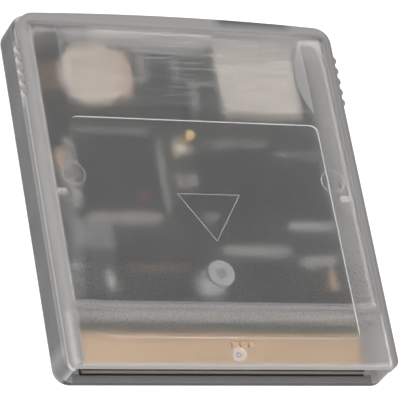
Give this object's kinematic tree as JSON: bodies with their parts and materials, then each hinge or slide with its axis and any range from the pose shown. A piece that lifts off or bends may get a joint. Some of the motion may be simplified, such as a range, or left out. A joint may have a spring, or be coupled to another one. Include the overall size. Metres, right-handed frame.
{
  "type": "game cartridge",
  "caption": "Flat translucent handheld game cartridge with a grip scoop, label recess, screwed shells, a coin-cell-backed circuit board, a memory-card slot and an open edge-contact mouth.",
  "frame": {"origin": "middle of the back face's bounding rectangle, at the height of the surface it lies on", "axes": "+Z out of the front face, +Y towards the grip end, contact mouth facing -Y, +X to the right seen from the front with the grip end up"},
  "size_m": [0.058, 0.065, 0.008],
  "materials": {
    "shell": "frosted translucent",
    "screw_steel": "zinc plated",
    "board_resist": "dark solder resist, satin",
    "contact_plating": "gold plated",
    "pin_brass": "turned",
    "cell_can": "nickel plated, satin",
    "cell_clip": "bare spring metal",
    "socket_moulding": "cream moulding",
    "socket_sheet": "tinned sheet",
    "chip_moulding": "dark epoxy",
    "lead_frame": "tinned",
    "metal_can": "satin",
    "tantalum_moulding": "satin",
    "ceramic": "fired ceramic",
    "resistor_glaze": "glazed"
  },
  "bodies": {
    "root": {"rear_shell": "shell", "front_shell": "shell", "housing_screw": "screw_steel", "circuit_board": "board_resist", "edge_contacts": "contact_plating", "pin_pad": "contact_plating", "locating_pin": "pin_brass", "coin_cell": "cell_can", "cell_base_contact": "cell_clip", "cell_retainer": "cell_clip", "card_socket_base": "socket_moulding", "card_socket_shield": "socket_sheet", "card_socket_contacts": "contact_plating", "logic_chip": "chip_moulding", "logic_chip_leads": "lead_frame", "memory_chip": "chip_moulding", "memory_chip_leads": "lead_frame", "work_memory_chip": "chip_moulding", "work_memory_leads": "lead_frame", "bus_buffer_chip": "chip_moulding", "bus_buffer_leads": "lead_frame", "line_buffer_chip": "chip_moulding", "line_buffer_leads": "lead_frame", "clock_chip": "chip_moulding", "clock_chip_leads": "lead_frame", "voltage_regulator": "chip_moulding", "regulator_leads": "lead_frame", "oscillator": "metal_can", "clock_crystal": "metal_can", "tantalum_capacitors": "tantalum_moulding", "ceramic_capacitors": "ceramic", "resistors": "resistor_glaze"}
  },
  "joints": []
}
